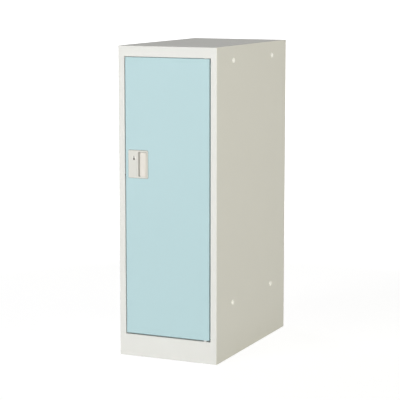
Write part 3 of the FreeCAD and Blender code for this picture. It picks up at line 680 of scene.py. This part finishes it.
def levellingFeet(look):
    tree = studTree(finishes["zinc_steel"])
    for body in [name for name in frame["bodies"] if name.startswith("foot_")]:
        place = body[len("foot_"):]
        low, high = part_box("adjuster_" + body)
        centre = Vector(((low.x + high.x) / 2, (low.y + high.y) / 2, low.z))
        pad = footPad("ribbed_pad_" + place, look, centre, finishes["black_plastic"])
        seat(pad, body)
        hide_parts("adjuster_" + body)
        foot = (centre.x, centre.y, high.z - studSizes["Length"] - studSizes["Tip"])
        seat(bakeTree("threaded_stud_" + place, tree, studSizes, [foot]), body)


levellingFeet(padLook)
print("levelling feet set")


# Spring piece

springLook = {"joint": "latch_slide", "merge": 1e-6}


def hairpinSpring(look):
    # copy of the spring from the part with its doubled points merged, set on the door in its place
    low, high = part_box("bolt_spring")
    joints = {joint["name"]: joint for joint in frame["record"]["behaviour"]["joints"]}
    travel = joints[look["joint"]]["range_m"][1]
    shape = bmesh.new()
    shape.from_mesh(nodes["bolt_spring"].data)
    bmesh.ops.remove_doubles(shape, verts=shape.verts, dist=look["merge"])
    spring = showShape("hairpin_spring", shape)
    spring.data.materials.append(finishes["zinc_steel"])
    seat(spring, "door")
    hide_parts("bolt_spring")
    1 - travel / (high.x - low.x)
    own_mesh(spring)


hairpinSpring(springLook)
print("spring set")


# Studio

cameraLook = {"place": (1.7997, -4.0222, 1.0870), "yaw": 24.30, "pitch": 8.61, "lens": 136.75, "sensor": 36.0}


def setCamera(look):
    data = bpy.data.cameras.new("camera")
    data.sensor_width = look["sensor"]
    data.lens = look["lens"]
    camera = show("camera", data)
    camera.location = look["place"]
    camera.rotation_euler = (math.radians(90 - look["pitch"]), 0, math.radians(look["yaw"]))
    bpy.context.scene.camera = camera


plainWhite = (1.0, 1.0, 1.0)
warmWhite = (1.0, 0.945, 0.70)
lamps = {
    "key": {"azimuth": -26.0, "rise": 9.5, "reach": 9.0, "size": 4.4, "power": 495.0, "colour": plainWhite},
    "fill": {"azimuth": 34.0, "rise": 9.0, "reach": 9.0, "size": 3.9, "power": 262.0, "colour": plainWhite},
    "side": {"azimuth": 82.0, "rise": 12.5, "reach": 6.0, "size": 3.0, "power": 112.5, "colour": warmWhite},
    "rear": {"azimuth": 242.0, "rise": 10.0, "reach": 9.0, "size": 4.4, "power": 288.0, "colour": plainWhite},
    "back": {"azimuth": 188.0, "rise": 4.0, "reach": 8.0, "size": 1.8, "power": 170.0, "colour": plainWhite},
}


def setLamps(looks, target):
    for name, look in looks.items():
        data = bpy.data.lights.new(name + "Softbox", "AREA")
        data.shape = "SQUARE"
        data.size = look["size"]
        data.energy = look["power"]
        data.color = look["colour"]
        lamp = show(name + "Softbox", data)
        azimuth, rise = math.radians(look["azimuth"]), math.radians(look["rise"])
        level = math.cos(rise)
        away = Vector((math.sin(azimuth) * level, -math.cos(azimuth) * level, math.sin(rise)))
        lamp.location = target + away * look["reach"]
        lamp.rotation_mode = "QUATERNION"
        lamp.rotation_quaternion = away.to_track_quat("Z", "Y")
        lamp.visible_camera = False


skyLook = {"ambient": 0.18, "white": 1.0}


def seenRay(bench):
    path = bench.node("ShaderNodeLightPath").socket.node
    kinds = ("Is Camera Ray", "Is Glossy Ray", "Is Transmission Ray")
    camera, glossy, through = [Wire(bench, path.outputs[kind]) for kind in kinds]
    return bench.clamp(camera + glossy + through)


def setSky(look):
    world = bpy.data.worlds.new("studio")
    world.use_nodes = True
    world.node_tree.nodes.clear()
    bench = Bench(world.node_tree)
    white = opaque(plainWhite)
    soft = bench.node("ShaderNodeBackground", None, {"Color": white, "Strength": look["ambient"]})
    seen = bench.node("ShaderNodeBackground", None, {"Color": white, "Strength": look["white"]})
    sky = bench.node("ShaderNodeMixShader", None, {0: seenRay(bench), 1: soft, 2: seen})
    bench.node("ShaderNodeOutputWorld", None, {"Surface": sky})
    bpy.context.scene.world = world


floorLook = {
    "half": 70.0, "cells": 8, "drop": 0.0004, "colour": (0.82, 0.82, 0.82), "glow": 0.66, "white": 1.29,
    "shadowReach": 1.2, "fade": 1.4, "grainScale": 3.0, "grainDetail": 2.0, "grainTint": 0.03,
}


def setFloor(look):
    shape = bmesh.new()
    bmesh.ops.create_grid(shape, x_segments=look["cells"], y_segments=look["cells"], size=look["half"])
    bmesh.ops.translate(shape, verts=shape.verts, vec=(0, 0, -look["drop"]))
    floor = showShape("floor", shape)
    material, bench, place = startMaterial("paleFloor")
    x, y = bench.axes(place)[:2]
    away = (x * x + y * y) ** 0.5
    clear = bench.clamp((away - look["shadowReach"]) / look["fade"])
    glow = look["glow"] + clear * (1 - look["glow"])             # paper runs out into a white sweep
    grain = bench.noise(place, look["grainScale"], look["grainDetail"])
    colour = bench.tint(grain * look["grainTint"], opaque(look["colour"]), opaque(plainWhite))
    paper = bench.node("ShaderNodeBsdfDiffuse", None, {"Color": colour})
    lit = bench.node("ShaderNodeEmission", None, {"Color": opaque(plainWhite), "Strength": look["white"]})
    mixed = bench.node("ShaderNodeMixShader", None, {0: seenRay(bench) * glow, 1: paper, 2: lit})
    bench.node("ShaderNodeOutputMaterial", None, {"Surface": mixed})
    floor.data.materials.append(material)


setCamera(cameraLook)
setLamps(lamps, (cadLow + cadHigh) / 2)
setSky(skyLook)
setFloor(floorLook)
bpy.context.scene.view_settings.view_transform = "Standard"
print("studio set")
